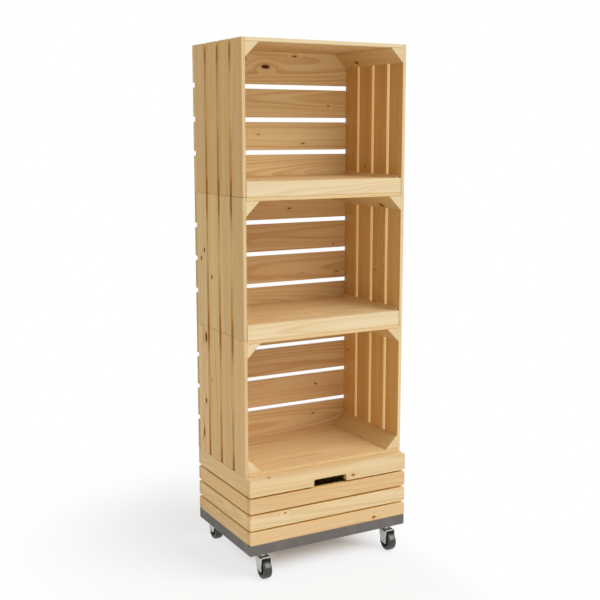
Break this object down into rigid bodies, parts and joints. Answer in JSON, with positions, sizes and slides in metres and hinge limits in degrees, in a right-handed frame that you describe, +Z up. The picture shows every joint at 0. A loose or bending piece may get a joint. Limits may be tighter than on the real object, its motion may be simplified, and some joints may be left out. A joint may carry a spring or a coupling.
{
  "type": "crate display stand",
  "caption": "Tall pine display stand of stacked open-fronted crates on a slatted base with a hand-hole, a dark dolly board and swivel casters.",
  "frame": {"origin": "on the floor under the middle of the dolly board", "axes": "+Z up, -Y towards the open front, +X to the right of someone facing the front"},
  "size_m": [0.46, 0.3434, 1.3245],
  "materials": {
    "pine_side": "clear satin pine",
    "pine_back": "clear satin pine",
    "pine_board": "clear satin pine",
    "pine_apron": "clear satin pine",
    "pine_base": "clear satin pine",
    "dolly_paint": "dark grey satin paint",
    "zinc": "zinc plated",
    "axle_steel": "bright",
    "hub_plastic": "satin",
    "rubber": "matte"
  },
  "bodies": {
    "stand": {"bottom_crate_left_side": "pine_side", "bottom_crate_right_side": "pine_side", "bottom_crate_back_slat_1": "pine_back", "bottom_crate_back_slat_2": "pine_back", "bottom_crate_back_slat_3": "pine_back", "bottom_crate_back_slat_4": "pine_back", "bottom_crate_floor_board": "pine_board", "bottom_crate_top_board": "pine_board", "middle_crate_left_side": "pine_side", "middle_crate_right_side": "pine_side", "middle_crate_back_slat_1": "pine_back", "middle_crate_back_slat_2": "pine_back", "middle_crate_back_slat_3": "pine_back", "middle_crate_back_slat_4": "pine_back", "middle_crate_floor_board": "pine_board", "middle_crate_top_board": "pine_board", "middle_crate_apron": "pine_apron", "middle_crate_deck": "pine_board", "top_crate_left_side": "pine_side", "top_crate_right_side": "pine_side", "top_crate_back_slat_1": "pine_back", "top_crate_back_slat_2": "pine_back", "top_crate_back_slat_3": "pine_back", "top_crate_back_slat_4": "pine_back", "top_crate_floor_board": "pine_board", "top_crate_top_board": "pine_board", "top_crate_apron": "pine_apron", "top_crate_deck": "pine_board", "base_front_slat_1": "pine_base", "base_front_slat_2": "pine_base", "base_front_slat_3": "pine_base", "base_front_slat_4": "pine_base", "base_back_slat_1": "pine_base", "base_back_slat_2": "pine_base", "base_back_slat_3": "pine_base", "base_back_slat_4": "pine_base", "base_left_end": "pine_base", "base_right_end": "pine_base", "base_lid": "pine_board", "dolly_board": "dolly_paint", "front_left_caster_plate": "zinc", "front_right_caster_plate": "zinc", "back_left_caster_plate": "zinc", "back_right_caster_plate": "zinc"},
    "front_left_fork": {"front_left_caster_fork": "zinc", "front_left_caster_axle": "axle_steel"},
    "front_left_wheel": {"front_left_caster_hub": "hub_plastic", "front_left_caster_tyre": "rubber"},
    "front_right_fork": {"front_right_caster_fork": "zinc", "front_right_caster_axle": "axle_steel"},
    "front_right_wheel": {"front_right_caster_hub": "hub_plastic", "front_right_caster_tyre": "rubber"},
    "back_left_fork": {"back_left_caster_fork": "zinc", "back_left_caster_axle": "axle_steel"},
    "back_left_wheel": {"back_left_caster_hub": "hub_plastic", "back_left_caster_tyre": "rubber"},
    "back_right_fork": {"back_right_caster_fork": "zinc", "back_right_caster_axle": "axle_steel"},
    "back_right_wheel": {"back_right_caster_hub": "hub_plastic", "back_right_caster_tyre": "rubber"}
  },
  "joints": [
    {"name": "front_left_swivel", "type": "hinge", "parent": "stand", "child": "front_left_fork", "pos_m": [-0.186, -0.12665, 0.0607], "axis": [0, 0, 1], "continuous": true},
    {"name": "front_left_wheel_spin", "type": "hinge", "parent": "front_left_fork", "child": "front_left_wheel", "pos_m": [-0.186, -0.14665, 0.025], "axis": [1, 0, 0], "continuous": true},
    {"name": "front_right_swivel", "type": "hinge", "parent": "stand", "child": "front_right_fork", "pos_m": [0.186, -0.12665, 0.0607], "axis": [0, 0, 1], "continuous": true},
    {"name": "front_right_wheel_spin", "type": "hinge", "parent": "front_right_fork", "child": "front_right_wheel", "pos_m": [0.186, -0.14665, 0.025], "axis": [1, 0, 0], "continuous": true},
    {"name": "back_left_swivel", "type": "hinge", "parent": "stand", "child": "back_left_fork", "pos_m": [-0.186, 0.12665, 0.0607], "axis": [0, 0, 1], "continuous": true},
    {"name": "back_left_wheel_spin", "type": "hinge", "parent": "back_left_fork", "child": "back_left_wheel", "pos_m": [-0.186, 0.14665, 0.025], "axis": [1, 0, 0], "continuous": true},
    {"name": "back_right_swivel", "type": "hinge", "parent": "stand", "child": "back_right_fork", "pos_m": [0.186, 0.12665, 0.0607], "axis": [0, 0, 1], "continuous": true},
    {"name": "back_right_wheel_spin", "type": "hinge", "parent": "back_right_fork", "child": "back_right_wheel", "pos_m": [0.186, 0.14665, 0.025], "axis": [1, 0, 0], "continuous": true}
  ]
}
